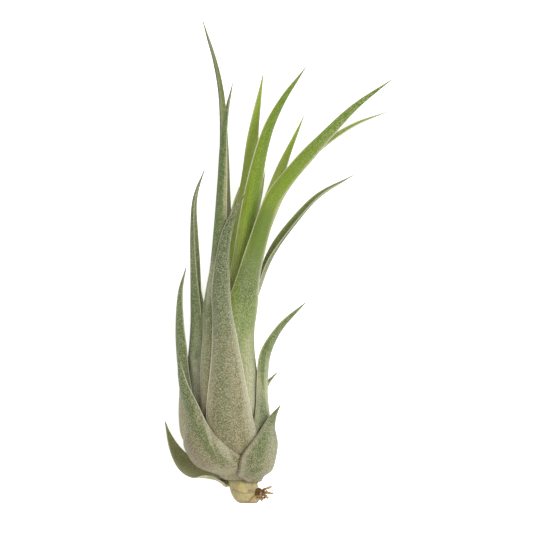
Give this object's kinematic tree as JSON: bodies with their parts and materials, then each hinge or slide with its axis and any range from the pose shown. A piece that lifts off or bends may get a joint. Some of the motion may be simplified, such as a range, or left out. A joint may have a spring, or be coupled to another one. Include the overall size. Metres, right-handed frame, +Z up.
{
  "type": "air plant",
  "caption": "Air plant laid on its back: a bulb of clasping, silvery leaf bases, long tapering curved leaves, a stem stub and a tuft of wiry roots.",
  "frame": {"origin": "middle of the flat spot on the lowest back leaf, under the plant's weight, on the surface it lies on", "axes": "+Y along the plant from the foot of its stem to its leaf tips, +Z up from the surface, +X to the right as seen from above"},
  "size_m": [0.0676, 0.1405, 0.0283],
  "materials": {
    "outer_leaf": "matte, silvery scurf over grey-green, darker green patches",
    "middle_leaf": "matte, silvery scurf over grey-green, cream towards the base",
    "inner_leaf": "matte, fine silvery speckle over green",
    "heart_leaf": "satin, bright yellow-green with pale edges",
    "stem": "satin, pale yellow-green",
    "roots": "matte, dark brown to tan"
  },
  "bodies": {
    "root": {"stem": "stem", "roots": "roots", "heart_leaf_1": "heart_leaf", "heart_leaf_2": "heart_leaf", "heart_leaf_3": "heart_leaf", "heart_leaf_4": "heart_leaf", "inner_leaf_1": "inner_leaf", "inner_leaf_2": "inner_leaf", "inner_leaf_3": "inner_leaf", "inner_leaf_4": "inner_leaf", "inner_leaf_5": "inner_leaf", "inner_leaf_6": "inner_leaf", "inner_leaf_7": "inner_leaf", "inner_leaf_8": "inner_leaf", "middle_leaf_1": "middle_leaf", "middle_leaf_2": "middle_leaf", "middle_leaf_3": "middle_leaf", "middle_leaf_4": "middle_leaf", "middle_leaf_5": "middle_leaf", "outer_leaf_1": "outer_leaf", "outer_leaf_2": "outer_leaf", "outer_leaf_3": "outer_leaf", "outer_leaf_4": "outer_leaf", "outer_leaf_5": "outer_leaf"}
  },
  "joints": []
}
